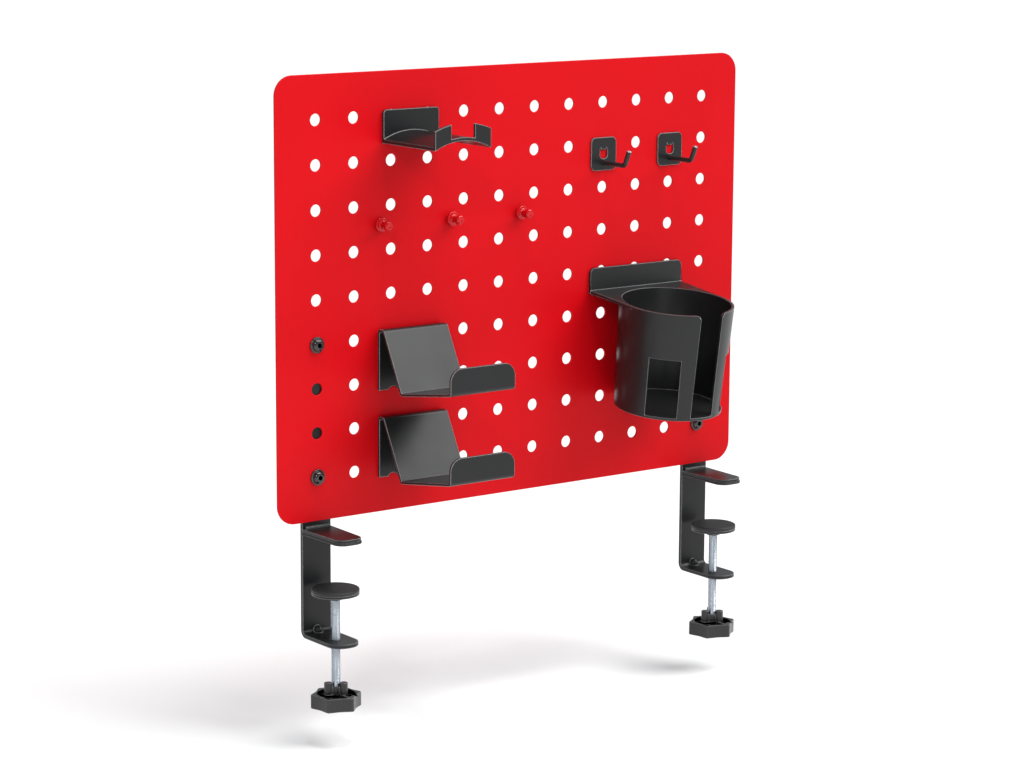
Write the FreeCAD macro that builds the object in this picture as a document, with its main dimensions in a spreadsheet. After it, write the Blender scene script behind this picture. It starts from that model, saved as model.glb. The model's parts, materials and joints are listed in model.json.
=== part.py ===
import FreeCAD, Part
import math
import os

import Sketcher
from FreeCAD import Placement, Rotation, Vector

# A perforated steel panel held on a desk's edge by two screw clamps, with holders that hang in
# its holes. Millimetres. X runs along the desk's edge, Z is up, and the panel's front faces -Y.
# The origin is midway between the clamps, on the desk top (the underside of the upper jaws),
# in the plane of the panel's back, where the desk's edge meets the clamp brackets.

SIZES = {
    # panel
    "pitch": 38.0,              # hole to hole, both ways
    "columns": 12,
    "rows": 9,
    "hole_dia": 10.5,
    "side_margin": 40.0,        # outer hole's centre to the panel's side
    "end_margin": 38.0,         # outer hole's centre to the panel's top or bottom
    "panel_wall": 2.0,
    "panel_corner": 17.0,
    "panel_lift": 11.0,         # panel's lower edge above the desk top
    # clamp bracket, bent flat steel
    "strip_width": 29.0,
    "strip_wall": 3.5,
    "strip_over": 12.0,         # strip above its upper screw
    "strip_corner": 5.0,
    "strip_bend": 3.5,          # inside radius of the bend
    "throat_depth": 86.7,       # desk top to the lower jaw
    "lower_reach": 51.5,
    "lower_round": 13.5,
    "dimple_inset": 1.8,        # dimple's centre from the bend's inside corner, both ways
    "dimple_cover": 0.4,        # metal left outside the dimple
    "upper_fix_row": 6,
    "lower_fix_row": 9,
    # upper jaw and its rubber layer
    "jaw_reach": 55.5,
    "jaw_wall": 3.0,
    "jaw_root_width": 29.0,
    "jaw_tip_width": 25.0,
    "jaw_tip_round": 9.0,
    "jaw_pad_wall": 2.0,
    "jaw_pad_over": 0.6,        # rubber past the steel all round
    "weld_leg": 2.5,
    # pressure disc, rubber cap and clamp screw
    "screw_out": 29.0,          # screw's axis from the panel's back plane
    "throat_open": 42.0,        # upper jaw to the cap, as set
    "cap_wall": 3.0,
    "cap_round": 1.2,
    "disc_dia": 41.0,
    "disc_wall": 2.5,
    "socket_rise": 4.5,
    "socket_root_dia": 17.0,
    "socket_tip_dia": 12.5,
    "socket_depth": 4.0,
    "screw_dia": 8.0,
    "screw_length": 92.5,
    "screw_play": 0.05,         # radial, in the jaw and in the socket
    "screw_end_play": 0.1,
    "screw_grip": 16.5,         # length held in the knob
    # knob
    "knob_corner": 22.5,        # axis to a corner
    "knob_waist": 18.1,         # axis to the middle of a side
    "knob_round": 2.5,
    "knob_height": 12.0,
    "knob_wall": 2.0,
    "knob_rib": 1.8,
    "knob_floor": 3.0,
    "knob_turn": 9.0,
    "hub_dia": 13.0,
    "hub_rise": 10.5,           # hub's lobes above the star
    "hub_step": 3.5,            # core below the lobes
    "lobe_dia": 7.3,
    "lobe_out": 7.5,
    "lobes": 3,
    "lobe_turn": 48.0,
    # panel screws, washers and nuts
    "bolt_dia": 6.0,
    "bolt_play": 0.05,
    "bolt_hole_dia": 6.6,
    "bolt_flange_dia": 14.0,
    "bolt_flange_wall": 1.3,
    "bolt_head_dia": 10.8,
    "bolt_head_rise": 3.4,
    "bolt_head_round": 2.6,
    "bolt_socket": 4.0,
    "bolt_socket_depth": 2.6,
    "bolt_over": 1.5,           # thread past the nut
    "washer_dia": 12.5,
    "washer_wall": 1.6,
    "nut_across": 10.0,
    "nut_wall": 5.0,
    # lugs that hang a holder in two holes of one row
    "lug_width": 6.0,
    "lug_drop": 4.0,            # turned-down end below the hole's edge
    "lug_play": 0.3,            # behind the panel
    "slip": 0.05,               # holder's back to the panel's front
    "seat_gap": 0.05,           # lug's underside above the hole's edge
    # headset holder
    "headset_column": 3.5,
    "headset_row": 1,
    "headset_wall": 3.0,
    "headset_top": 5.2,         # above its row's centres
    "headset_corner": 3.0,
    "saddle_width": 57.0,
    "saddle_rise": 7.0,
    "saddle_drop": 20.0,        # saddle's ends below its row's centres
    "saddle_depth": 79.0,
    "lip_height": 12.0,
    "lip_gap": 24.0,
    # controller holders
    "controller_column": 3.5,
    "controller_width": 66.5,
    "controller_wall": 2.5,
    "controller_bend": 1.0,
    "controller_top": 8.0,      # above its row's centres
    "controller_back": 53.4,
    "fold_depth": 9.0,
    "slant_out": 27.0,
    "tray_depth": 70.0,
    "tray_rise": 10.5,
    "tray_lip": 21.0,
    "tray_lip_round": 11.5,
    "notch_dia": 12.0,
    "notch_rise": 2.8,          # notch's top above the back plate's lower edge
    "upper_controller_row": 6,
    "lower_controller_row": 8,
    # wire hooks
    "left_hook_column": 9,
    "right_hook_column": 11,
    "hook_row": 2,
    "hook_wall": 1.5,
    "hook_width": 28.0,
    "hook_top": 6.5,            # above the hole's centre
    "hook_height": 29.5,
    "hook_corner": 4.5,
    "window_width": 8.5,
    "window_height": 11.0,
    "window_round": 3.5,
    "tongue_root": 1.2,         # tongue's straight stretch below the window's top
    "rod_dia": 4.4,
    "rod_drop": 16.3,           # below the hole's centre
    "rod_out": 30.0,
    "rod_bend": 5.0,
    "rod_rise": 13.6,
    "rod_lean": 25.0,
    # cup holder
    "cup_column": 10,
    "cup_row": 5,
    "cup_back_width": 105.0,
    "cup_back_height": 23.0,
    "cup_back_top": 3.7,        # above its row's centres
    "cup_back_corner": 5.0,
    "cup_back_wall": 3.0,
    "cup_lug_pitches": 2,
    "cup_tilt": 6.5,
    "cup_out": 63.0,            # rim's centre from the panel's back plane
    "cup_top_dia": 103.0,
    "cup_foot_dia": 97.0,
    "cup_height": 97.5,
    "cup_wall": 2.5,
    "cup_floor": 2.5,
    "flange_wall": 3.0,
    "mug_slot": 24.0,
    "mug_slot_round": 4.5,
    "side_window_turn": 47.0,   # each window's direction from the slot's
    "side_window": 28.5,
    "side_window_height": 53.0,
    # pin magnets
    "pin_row": 3.43,
    "pin_step": 1.95,              # pitches between pins
    "pin_first": 2.69,          # column of the first pin
    "magnet_dia": 10.5,
    "magnet_wall": 2.0,
    "pin_base_dia": 12.5,
    "pin_base_wall": 2.6,
    "pin_waist_dia": 5.6,
    "pin_waist": 5.5,
    "pin_head_dia": 8.2,
    "pin_head": 5.4,
    "pin_round": 1.6,
}

doc = FreeCAD.newDocument("pegboard_tool_wall")
sheet = doc.addObject("Spreadsheet::Sheet", "Sizes")
for line_number, (size_name, size) in enumerate(SIZES.items(), 1):
    sheet.set(f"A{line_number}", size_name)
    sheet.set(f"B{line_number}", str(size))
    sheet.setAlias(f"B{line_number}", size_name)
doc.recompute()

X, Y, Z = Vector(1, 0, 0), Vector(0, 1, 0), Vector(0, 0, 1)
FRONT, SIDE, TOP = "XZ_Plane", "YZ_Plane", "XY_Plane"

# Expressions that several pieces share.
PANEL_BOTTOM = "Sizes.panel_lift"
PANEL_HEIGHT = "((Sizes.rows - 1) * Sizes.pitch + 2 * Sizes.end_margin)"
PANEL_WIDTH = "((Sizes.columns - 1) * Sizes.pitch + 2 * Sizes.side_margin)"
HOLDER_BACK = "(Sizes.panel_wall + Sizes.slip)"
SEAT = "(Sizes.seat_gap - sqrt(Sizes.hole_dia ^ 2 - Sizes.lug_width ^ 2) / 2)"
CAP_TOP = "(-Sizes.throat_open)"
SOCKET_MOUTH = f"({CAP_TOP} - Sizes.cap_wall - Sizes.disc_wall - Sizes.socket_rise)"
SCREW_TOP = f"({SOCKET_MOUTH} + Sizes.socket_depth - Sizes.screw_end_play)"
SCREW_FOOT = f"({SCREW_TOP} - Sizes.screw_length)"
KNOB_FOOT = f"({SCREW_FOOT} + Sizes.screw_grip - Sizes.hub_rise - Sizes.knob_height)"
WASHER_FRONT = "Sizes.strip_wall"
NUT_FRONT = f"{WASHER_FRONT} + Sizes.washer_wall"
BEHIND_NUT = f"{NUT_FRONT} + Sizes.nut_wall"

CLOSE = 0.02        # how near an edge has to be to the place that names it
PARALLEL = 0.999    # cosine between directions that count as the same
LEAST_CUT = 0.1     # a cut that removes less than this has missed
KNOB_CORNERS = 6
HEXAGON = 6

sub_parts = []


def column_x(column):
    return f"((({column}) - (Sizes.columns + 1) / 2) * Sizes.pitch)"


def row_z(row):
    return f"({PANEL_BOTTOM} + Sizes.end_margin + (Sizes.rows - ({row})) * Sizes.pitch)"


def value(expression):
    """The number that an expression over the sheet gives."""
    return float(sheet.evalExpression(expression))


# --- sketches ---------------------------------------------------------------------------------

def new_sketch(body, name, role, offset="0"):
    """A sketch on one of its body's origin planes, moved along the plane's normal."""
    plane = next(feature for feature in body.Origin.OriginFeatures if feature.Role == role)
    sketch = body.newObject("Sketcher::SketchObject", name)
    sketch.AttachmentSupport = (plane, [""])
    sketch.MapMode = "FlatFace"
    sketch.AttachmentOffset = Placement(Vector(0, 0, value(offset)), Rotation())
    sketch.setExpression("AttachmentOffset.Base.z", offset)
    return sketch


def dimension(sketch, kind, *elements, size):
    """A dimensional constraint whose value is an expression."""
    number = sketch.addConstraint(Sketcher.Constraint(kind, *elements, value(size)))
    sketch.setExpression(f"Constraints[{number}]", size)


def pin_point(sketch, element, end, across, up):
    dimension(sketch, "DistanceX", -1, 1, element, end, size=across)
    dimension(sketch, "DistanceY", -1, 1, element, end, size=up)


def closed_lines(sketch, points):
    count = len(points)
    for start in range(count):
        sketch.addGeometry(Part.LineSegment(points[start], points[(start + 1) % count]), False)
    for start in range(count):
        sketch.addConstraint(Sketcher.Constraint("Coincident", start, 2, (start + 1) % count, 1))


def outline_sketch(body, name, role, corners, offset="0"):
    """A closed outline of straight sides; each corner is a pair of expressions."""
    sketch = new_sketch(body, name, role, offset)
    closed_lines(sketch, [Vector(value(across), value(up), 0) for across, up in corners])
    for number, (across, up) in enumerate(corners):
        pin_point(sketch, number, 1, across, up)
    return sketch


def block_sketch(body, name, role, left, right, low, high, offset="0"):
    corners = [(left, low), (right, low), (right, high), (left, high)]
    return outline_sketch(body, name, role, corners, offset)


def circle_sketch(body, name, role, circles, offset="0"):
    """Circles, each given as the centre's two expressions and the diameter's."""
    sketch = new_sketch(body, name, role, offset)
    for number, (across, up, diameter) in enumerate(circles):
        centre = Vector(value(across), value(up), 0)
        sketch.addGeometry(Part.Circle(centre, Z, value(diameter) / 2), False)
        pin_point(sketch, number, 3, across, up)
        dimension(sketch, "Diameter", number, size=diameter)
    return sketch


def second_face(points, wall):
    """The corners of a sheet's other face, to the left of the first face's corners."""
    normals = []
    for start, end in zip(points, points[1:]):
        run = (end - start).normalize()
        normals.append(Vector(-run.y, run.x, 0))
    corners = [points[0] + normals[0] * wall]
    for point, before, after in zip(points[1:-1], normals, normals[1:]):
        corners.append(point + (before + after) * (wall / (1 + before.dot(after))))
    corners.append(points[-1] + normals[-1] * wall)
    return corners


def sheet_sketch(body, name, path, wall, offset="0"):
    """The side view of a bent sheet: one face follows the path, the other is left of it."""
    sketch = new_sketch(body, name, SIDE, offset)
    first = [Vector(value(across), value(up), 0) for across, up in path]
    second = second_face(first, value(wall))
    closed_lines(sketch, first + second[::-1])
    last = len(path) - 1
    for number, (across, up) in enumerate(path):
        pin_point(sketch, number, 1, across, up)
    for run in range(last):
        mate = 2 * last - run
        sketch.addConstraint(Sketcher.Constraint("Parallel", run, mate))
        dimension(sketch, "Distance", mate, 1, run, size=wall)
    sketch.addConstraint(Sketcher.Constraint("Perpendicular", last - 1, last))
    sketch.addConstraint(Sketcher.Constraint("Perpendicular", 0, 2 * last + 1))
    return sketch, first, second


def band_sketch(body, name, left, right, centre, inner, outer, offset="0"):
    """The part of an arched band between two upright lines; the centre is on the Z axis."""
    sketch = new_sketch(body, name, FRONT, offset)
    middle = Vector(0, value(centre), 0)
    edges = value(left), value(right)
    for radius in (value(outer), value(inner)):
        angles = [math.acos(edge / radius) for edge in edges]
        circle = Part.Circle(middle, Z, radius)
        sketch.addGeometry(Part.ArcOfCircle(circle, angles[1], angles[0]), False)
    for end, edge in ((2, left), (1, right)):
        tops = [middle.y + math.sqrt(value(r) ** 2 - value(edge) ** 2) for r in (outer, inner)]
        points = [Vector(value(edge), top, 0) for top in tops]
        line = sketch.addGeometry(Part.LineSegment(*points), False)
        sketch.addConstraint(Sketcher.Constraint("Coincident", line, 1, 0, end))
        sketch.addConstraint(Sketcher.Constraint("Coincident", line, 2, 1, end))
        sketch.addConstraint(Sketcher.Constraint("Vertical", line))
        dimension(sketch, "DistanceX", -1, 1, line, 1, size=edge)
    sketch.addConstraint(Sketcher.Constraint("Coincident", 1, 3, 0, 3))
    pin_point(sketch, 0, 3, "0", centre)
    dimension(sketch, "Radius", 0, size=outer)
    dimension(sketch, "Radius", 1, size=inner)
    return sketch


# --- features ---------------------------------------------------------------------------------

def new_body(label):
    body = doc.addObject("PartDesign::Body", label)
    body.Label = label
    return body


def place(piece, x="0", y="0", z="0", turn="0", about=Z):
    piece.Placement = Placement(Vector(value(x), value(y), value(z)), Rotation(about, value(turn)))
    piece.setExpression("Placement.Base.x", x)
    piece.setExpression("Placement.Base.y", y)
    piece.setExpression("Placement.Base.z", z)
    if turn != "0":
        piece.setExpression("Placement.Rotation.Angle", turn)


def finish_part(piece, label):
    piece.Label = label
    sub_parts.append(piece)


def pad(body, name, sketch, length, symmetric=False, backward=False):
    feature = body.newObject("PartDesign::Pad", name)
    feature.Profile = sketch
    feature.SideType = "Symmetric" if symmetric else "One side"
    feature.Reversed = backward
    feature.setExpression("Length", length)
    doc.recompute()
    return feature


def pocket(body, name, sketch, length=None, backward=False):
    """A cut to a length, or through everything both ways; it has to remove something."""
    before = body.Tip.Shape.Volume
    feature = body.newObject("PartDesign::Pocket", name)
    feature.Profile = sketch
    feature.Reversed = backward
    if length is None:
        feature.Type = "ThroughAll"
        feature.SideType = "Symmetric"
    else:
        feature.setExpression("Length", length)
    doc.recompute()
    if feature.Shape.Volume > before - LEAST_CUT:
        raise RuntimeError(f"{body.Label}: {name} cuts nothing")
    return feature


def revolve(body, name, sketch, axis="V_Axis", cut=False):
    before = body.Tip.Shape.Volume if cut else 0
    kind = "PartDesign::Groove" if cut else "PartDesign::Revolution"
    feature = body.newObject(kind, name)
    feature.Profile = sketch
    feature.ReferenceAxis = (sketch, [axis])
    feature.Angle = 360
    doc.recompute()
    if cut and feature.Shape.Volume > before - LEAST_CUT:
        raise RuntimeError(f"{body.Label}: {name} cuts nothing")
    return feature


def mirror(body, name, *features):
    feature = body.newObject("PartDesign::Mirrored", name)
    feature.Originals = list(features)
    side = next(plane for plane in body.Origin.OriginFeatures if plane.Role == SIDE)
    feature.MirrorPlane = (side, [""])
    body.Tip = feature
    doc.recompute()
    return feature


def polar(body, name, features, occurrences):
    feature = body.newObject("PartDesign::PolarPattern", name)
    feature.Originals = list(features)
    feature.Axis = (features[0].Profile[0], ["N_Axis"])
    feature.Angle = 360
    feature.setExpression("Occurrences", occurrences)
    body.Tip = feature
    doc.recompute()
    return feature


def fillet(body, name, radius, is_wanted, least=1):
    """Rounds the tip's edges that a test picks."""
    tip = body.Tip
    picked = [f"Edge{n}" for n, edge in enumerate(tip.Shape.Edges, 1) if is_wanted(edge)]
    if len(picked) < least:
        raise RuntimeError(f"{body.Label}: {name} found {len(picked)} edges")
    feature = body.newObject("PartDesign::Fillet", name)
    feature.Base = (tip, picked)
    feature.setExpression("Radius", radius)
    doc.recompute()
    return feature


def along(axis, *places):
    """Picks straight edges that run along an axis through one of the places."""
    def is_wanted(edge):
        if not isinstance(edge.Curve, Part.Line) or abs(edge.Curve.Direction.dot(axis)) < PARALLEL:
            return False
        offsets = [edge.CenterOfMass - spot for spot in places]
        return any((gap - axis * gap.dot(axis)).Length < CLOSE for gap in offsets)
    return is_wanted


def ring(radius, axis, level):
    """Picks circular edges of a radius at a level along an axis."""
    def is_wanted(edge):
        if not isinstance(edge.Curve, Part.Circle) or abs(edge.Curve.Radius - radius) > CLOSE:
            return False
        return abs(edge.Curve.Center.dot(axis) - level) < CLOSE
    return is_wanted


def bent_sheet(body, name, path, wall, width, bend):
    """A bent sheet of even width about the body's YZ plane, with its bends rounded."""
    sketch, first, second = sheet_sketch(body, f"{name}_side", path, wall)
    pad(body, f"{name}_sheet", sketch, width, symmetric=True)
    inside, outside = [], []
    for number in range(1, len(first) - 1):
        before, after = first[number] - first[number - 1], first[number + 1] - first[number]
        turns_left = before.cross(after).z > 0
        inside.append(second[number] if turns_left else first[number])
        outside.append(first[number] if turns_left else second[number])
    for side, corners, radius in (("inside", inside, bend), ("outside", outside, f"{bend} + {wall}")):
        spots = [Vector(0, corner.x, corner.y) for corner in corners]
        fillet(body, f"{name}_{side}_bends", radius, along(X, *spots), least=len(spots))


def add_lugs(body, wall, spacing):
    """Two lugs behind a back plate: through a hole each, then down behind the panel."""
    path = [
        (f"-{HOLDER_BACK} - {wall} / 2", SEAT),
        ("Sizes.lug_play", SEAT),
        ("Sizes.lug_play", f"{SEAT} - Sizes.lug_drop"),
    ]
    sketch, _, _ = sheet_sketch(body, "lug_side", path, wall, f"{spacing} / 2")
    lug = pad(body, "lug", sketch, "Sizes.lug_width", symmetric=True)
    mirror(body, "lugs", lug)


# --- pieces -----------------------------------------------------------------------------------

def make_panel():
    body = new_body("pegboard_panel")
    half, high = f"{PANEL_WIDTH} / 2", PANEL_HEIGHT
    face = block_sketch(body, "panel_face", FRONT, f"-{half}", half, "0", high)
    pad(body, "panel_sheet", face, "Sizes.panel_wall")
    side, top = value(half), value(high)
    corners = [Vector(x, 0, z) for x in (-side, side) for z in (0, top)]
    fillet(body, "panel_corners", "Sizes.panel_corner", along(Y, *corners), least=4)
    first = (column_x("1"), "Sizes.end_margin", "Sizes.hole_dia")
    sketch = circle_sketch(body, "first_hole_circle", FRONT, [first])
    hole = pocket(body, "first_hole", sketch)
    holes = body.newObject("PartDesign::LinearPattern", "holes")
    holes.Originals = [hole]
    holes.Direction = (sketch, ["H_Axis"])
    holes.Direction2 = (sketch, ["V_Axis"])
    holes.setExpression("Length", "(Sizes.columns - 1) * Sizes.pitch")
    holes.setExpression("Length2", "(Sizes.rows - 1) * Sizes.pitch")
    holes.setExpression("Occurrences", "Sizes.columns")
    holes.setExpression("Occurrences2", "Sizes.rows")
    body.Tip = holes
    place(body, z=PANEL_BOTTOM)
    finish_part(body, "pegboard_panel")


def make_bracket(label, x):
    """Flat steel behind the panel, bent forward at the bottom into the lower jaw."""
    body = new_body(label)
    strip_top = f"{row_z('Sizes.upper_fix_row')} + Sizes.strip_over"
    jaw = "-Sizes.throat_depth"
    path = [("0", strip_top), ("0", jaw), ("-Sizes.lower_reach", jaw)]
    bent_sheet(body, "bracket", path, "Sizes.strip_wall", "Sizes.strip_width", "Sizes.strip_bend")
    half, reach, top = value("Sizes.strip_width / 2"), value("Sizes.lower_reach"), value(strip_top)
    tips = [Vector(x, -reach, 0) for x in (-half, half)]
    fillet(body, "jaw_tip", "Sizes.lower_round", along(Z, *tips), least=2)
    ends = [Vector(x, 0, top) for x in (-half, half)]
    fillet(body, "strip_end", "Sizes.strip_corner", along(Y, *ends), least=2)
    bore = ("0", "-Sizes.screw_out", "Sizes.screw_dia + 2 * Sizes.screw_play")
    pocket(body, "screw_bore", circle_sketch(body, "bore_circle", TOP, [bore]))
    rows = ("Sizes.upper_fix_row", "Sizes.lower_fix_row")
    bolts = [("0", row_z(row), "Sizes.bolt_hole_dia") for row in rows]
    pocket(body, "bolt_holes", circle_sketch(body, "bolt_circles", FRONT, bolts))
    dimple = body.newObject("PartDesign::AdditiveSphere", "bend_dimple")
    from_bend = "(Sizes.strip_bend - Sizes.dimple_inset) * sqrt(2)"
    outside = "Sizes.strip_bend + Sizes.strip_wall - Sizes.dimple_cover"
    dimple.setExpression("Radius", f"{outside} - {from_bend}")
    place(dimple, y="-Sizes.dimple_inset", z="Sizes.dimple_inset - Sizes.throat_depth")
    place(body, x=x)
    finish_part(body, label)


def jaw_plate(body, name, over, low, wall):
    """A plate that narrows to a rounded tip, larger than the jaw's outline by a margin."""
    root, tip = f"Sizes.jaw_root_width / 2 + {over}", f"Sizes.jaw_tip_width / 2 + {over}"
    reach = f"-Sizes.jaw_reach - {over}"
    corners = [(f"-({root})", "0"), (f"-({tip})", reach), (tip, reach), (root, "0")]
    pad(body, name, outline_sketch(body, f"{name}_outline", TOP, corners, low), wall)
    tips = [Vector(x * value(tip), value(reach), 0) for x in (-1, 1)]
    fillet(body, f"{name}_tip", f"Sizes.jaw_tip_round + {over}", along(Z, *tips), least=2)


def make_upper_jaw(side, x):
    body = new_body(f"{side}_upper_jaw")
    jaw_plate(body, "jaw", "0", "Sizes.jaw_pad_wall", "Sizes.jaw_wall")
    top = "Sizes.jaw_pad_wall + Sizes.jaw_wall"
    bead = [("0", top), ("0", f"{top} + Sizes.weld_leg"), ("-Sizes.weld_leg", top)]
    sketch = outline_sketch(body, "weld_side", SIDE, bead)
    pad(body, "weld_bead", sketch, "Sizes.strip_width - 2 * Sizes.weld_leg", symmetric=True)
    place(body, x=x)
    finish_part(body, body.Label)
    rubber = new_body(f"{side}_jaw_pad")
    jaw_plate(rubber, "rubber", "Sizes.jaw_pad_over", "0", "Sizes.jaw_pad_wall")
    place(rubber, x=x)
    finish_part(rubber, rubber.Label)


def make_pressure_disc(side, x):
    """Rubber cap over a steel disc with the screw's socket under it."""
    rim = "Sizes.disc_dia / 2"
    low = f"{CAP_TOP} - Sizes.cap_wall"
    cap = new_body(f"{side}_pressure_cap")
    face = circle_sketch(cap, "cap_circle", TOP, [("0", "0", "Sizes.disc_dia")], low)
    pad(cap, "cap_disc", face, "Sizes.cap_wall")
    edge = ring(value(rim), Z, value(CAP_TOP))
    fillet(cap, "cap_edge", "Sizes.cap_round", edge)
    place(cap, x=x, y="-Sizes.screw_out")
    finish_part(cap, cap.Label)
    disc = new_body(f"{side}_pressure_disc")
    foot = f"{low} - Sizes.disc_wall"
    seat = f"{SOCKET_MOUTH} + Sizes.socket_depth"
    bore = "Sizes.screw_dia / 2 + Sizes.screw_play"
    corners = [
        ("0", low), (rim, low), (rim, foot), ("Sizes.socket_root_dia / 2", foot),
        ("Sizes.socket_tip_dia / 2", SOCKET_MOUTH), (bore, SOCKET_MOUTH), (bore, seat), ("0", seat),
    ]
    revolve(disc, "disc_turned", outline_sketch(disc, "disc_half", FRONT, corners))
    place(disc, x=x, y="-Sizes.screw_out")
    finish_part(disc, disc.Label)


def make_clamp_screw(side, x):
    screw = doc.addObject("Part::Cylinder", f"{side}_clamp_screw")
    screw.setExpression("Radius", "Sizes.screw_dia / 2")
    screw.setExpression("Height", "Sizes.screw_length")
    place(screw, x=x, y="-Sizes.screw_out", z=SCREW_FOOT)
    finish_part(screw, f"{side}_clamp_screw")


def make_knob(side, x):
    """A hollow six-cornered knob with ribs to its corners and a lobed hub."""
    body = new_body(f"{side}_clamp_knob")
    corners = []
    half_turn = 180 / KNOB_CORNERS
    for side in range(KNOB_CORNERS):
        middle = 2 * half_turn * side
        corner = middle + half_turn
        corners.append((f"Sizes.knob_waist * cos({middle})", f"Sizes.knob_waist * sin({middle})"))
        corners.append((f"Sizes.knob_corner * cos({corner})", f"Sizes.knob_corner * sin({corner})"))
    pad(body, "star", outline_sketch(body, "star_outline", TOP, corners), "Sizes.knob_height")
    tips = [Vector(value(across), value(up), 0) for across, up in corners[1::2]]
    fillet(body, "star_corners", "Sizes.knob_round", along(Z, *tips), least=KNOB_CORNERS)
    # One pocket, between two ribs: its sides are half a rib away from the corners' radii.
    core, half_rib = "Sizes.hub_dia / 2", "Sizes.knob_rib / 2"
    outer = "(Sizes.knob_corner - Sizes.knob_round - 2 * Sizes.knob_wall)"
    cosine, sine = f"cos({half_turn})", f"sin({half_turn})"
    near = (core, f"({core} * {sine} - {half_rib}) / {cosine}")
    far = (f"{outer} * {cosine} + {half_rib} * {sine}", f"{outer} * {sine} - {half_rib} * {cosine}")
    cell = [
        (near[0], f"-({near[1]})"), (far[0], f"-({far[1]})"),
        ("Sizes.knob_waist - Sizes.knob_wall", "0"), far, near,
    ]
    sketch = outline_sketch(body, "cell_outline", TOP, cell, "Sizes.knob_height")
    hollow = pocket(body, "cell", sketch, "Sizes.knob_height - Sizes.knob_floor")
    polar(body, "cells", [hollow], str(KNOB_CORNERS))
    hub = circle_sketch(body, "hub_circle", TOP, [("0", "0", "Sizes.hub_dia")], "Sizes.knob_floor")
    rise = "Sizes.knob_height - Sizes.knob_floor + Sizes.hub_rise"
    pad(body, "hub", hub, f"{rise} - Sizes.hub_step")
    out = ("Sizes.lobe_out * cos(Sizes.lobe_turn)", "Sizes.lobe_out * sin(Sizes.lobe_turn)")
    sketch = circle_sketch(body, "lobe_circle", TOP, [(*out, "Sizes.lobe_dia")], "Sizes.knob_floor")
    lobe = pad(body, "lobe", sketch, rise)
    polar(body, "lobes_round", [lobe], "Sizes.lobes")
    top = "Sizes.knob_height + Sizes.hub_rise"
    bore = circle_sketch(body, "knob_bore_circle", TOP, [("0", "0", "Sizes.screw_dia")], top)
    pocket(body, "knob_bore", bore, "Sizes.screw_grip")
    place(body, x=x, y="-Sizes.screw_out", z=KNOB_FOOT, turn="Sizes.knob_turn")
    finish_part(body, body.Label)


def make_fasteners():
    """Screws through the panel and the brackets, with their washers and nuts as groups."""
    columns = [column_x("1"), column_x("Sizes.columns")]
    rows = [row_z("Sizes.upper_fix_row"), row_z("Sizes.lower_fix_row")]
    places = [(x, z) for x in columns for z in rows]
    groups = {"panel_screws": make_bolt, "panel_washers": make_washer, "panel_nuts": make_nut}
    for label, make_one in groups.items():
        pieces = []
        for number, (x, z) in enumerate(places, 1):
            piece = make_one(f"{label}_{number}")
            place(piece, x=x, z=z)
            pieces.append(piece)
        group = doc.addObject("Part::Compound", label)
        group.Links = pieces
        finish_part(group, label)


def make_bolt(label):
    body = new_body(label)
    flange_top = "Sizes.panel_wall + Sizes.bolt_flange_wall"
    head_top = f"{flange_top} + Sizes.bolt_head_rise"
    flange = [("0", "0", "Sizes.bolt_flange_dia")]
    sketch = circle_sketch(body, f"{label}_flange_circle", FRONT, flange, "Sizes.panel_wall")
    pad(body, f"{label}_flange", sketch, "Sizes.bolt_flange_wall")
    head = [("0", "0", "Sizes.bolt_head_dia")]
    sketch = circle_sketch(body, f"{label}_head_circle", FRONT, head, flange_top)
    pad(body, f"{label}_head", sketch, "Sizes.bolt_head_rise")
    crown = ring(value("Sizes.bolt_head_dia / 2"), Y, -value(head_top))
    fillet(body, f"{label}_dome", "Sizes.bolt_head_round", crown)
    shank = [("0", "0", "Sizes.bolt_dia")]
    length = f"{BEHIND_NUT} + Sizes.bolt_over + Sizes.panel_wall"
    sketch = circle_sketch(body, f"{label}_shank_circle", FRONT, shank, "Sizes.panel_wall")
    pad(body, f"{label}_shank", sketch, length, backward=True)
    radius = f"Sizes.bolt_socket / 2 / cos({180 / HEXAGON})"
    turns = [360 / HEXAGON * corner for corner in range(HEXAGON)]
    corners = [(f"{radius} * cos({turn})", f"{radius} * sin({turn})") for turn in turns]
    sketch = outline_sketch(body, f"{label}_key_outline", FRONT, corners, head_top)
    pocket(body, f"{label}_key", sketch, "Sizes.bolt_socket_depth")
    return body


def drilled(label, blank, front, wall):
    """A blank that stands on a plane behind the strip, with the bolt's hole through it."""
    blank.setExpression("Height", wall)
    place(blank, y=f"{front} + {wall}", turn="90", about=X)
    hole = doc.addObject("Part::Cylinder", f"{label}_hole")
    hole.setExpression("Radius", "Sizes.bolt_dia / 2 + Sizes.bolt_play")
    hole.setExpression("Height", wall)
    place(hole, y=f"{front} + {wall}", turn="90", about=X)
    piece = doc.addObject("Part::Cut", label)
    piece.Base = blank
    piece.Tool = hole
    doc.recompute()
    return piece


def make_washer(label):
    blank = doc.addObject("Part::Cylinder", f"{label}_blank")
    blank.setExpression("Radius", "Sizes.washer_dia / 2")
    return drilled(label, blank, WASHER_FRONT, "Sizes.washer_wall")


def make_nut(label):
    blank = doc.addObject("Part::Prism", f"{label}_blank")
    blank.Polygon = HEXAGON
    blank.setExpression("Circumradius", f"Sizes.nut_across / 2 / cos({180 / HEXAGON})")
    return drilled(label, blank, NUT_FRONT, "Sizes.nut_wall")


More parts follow.
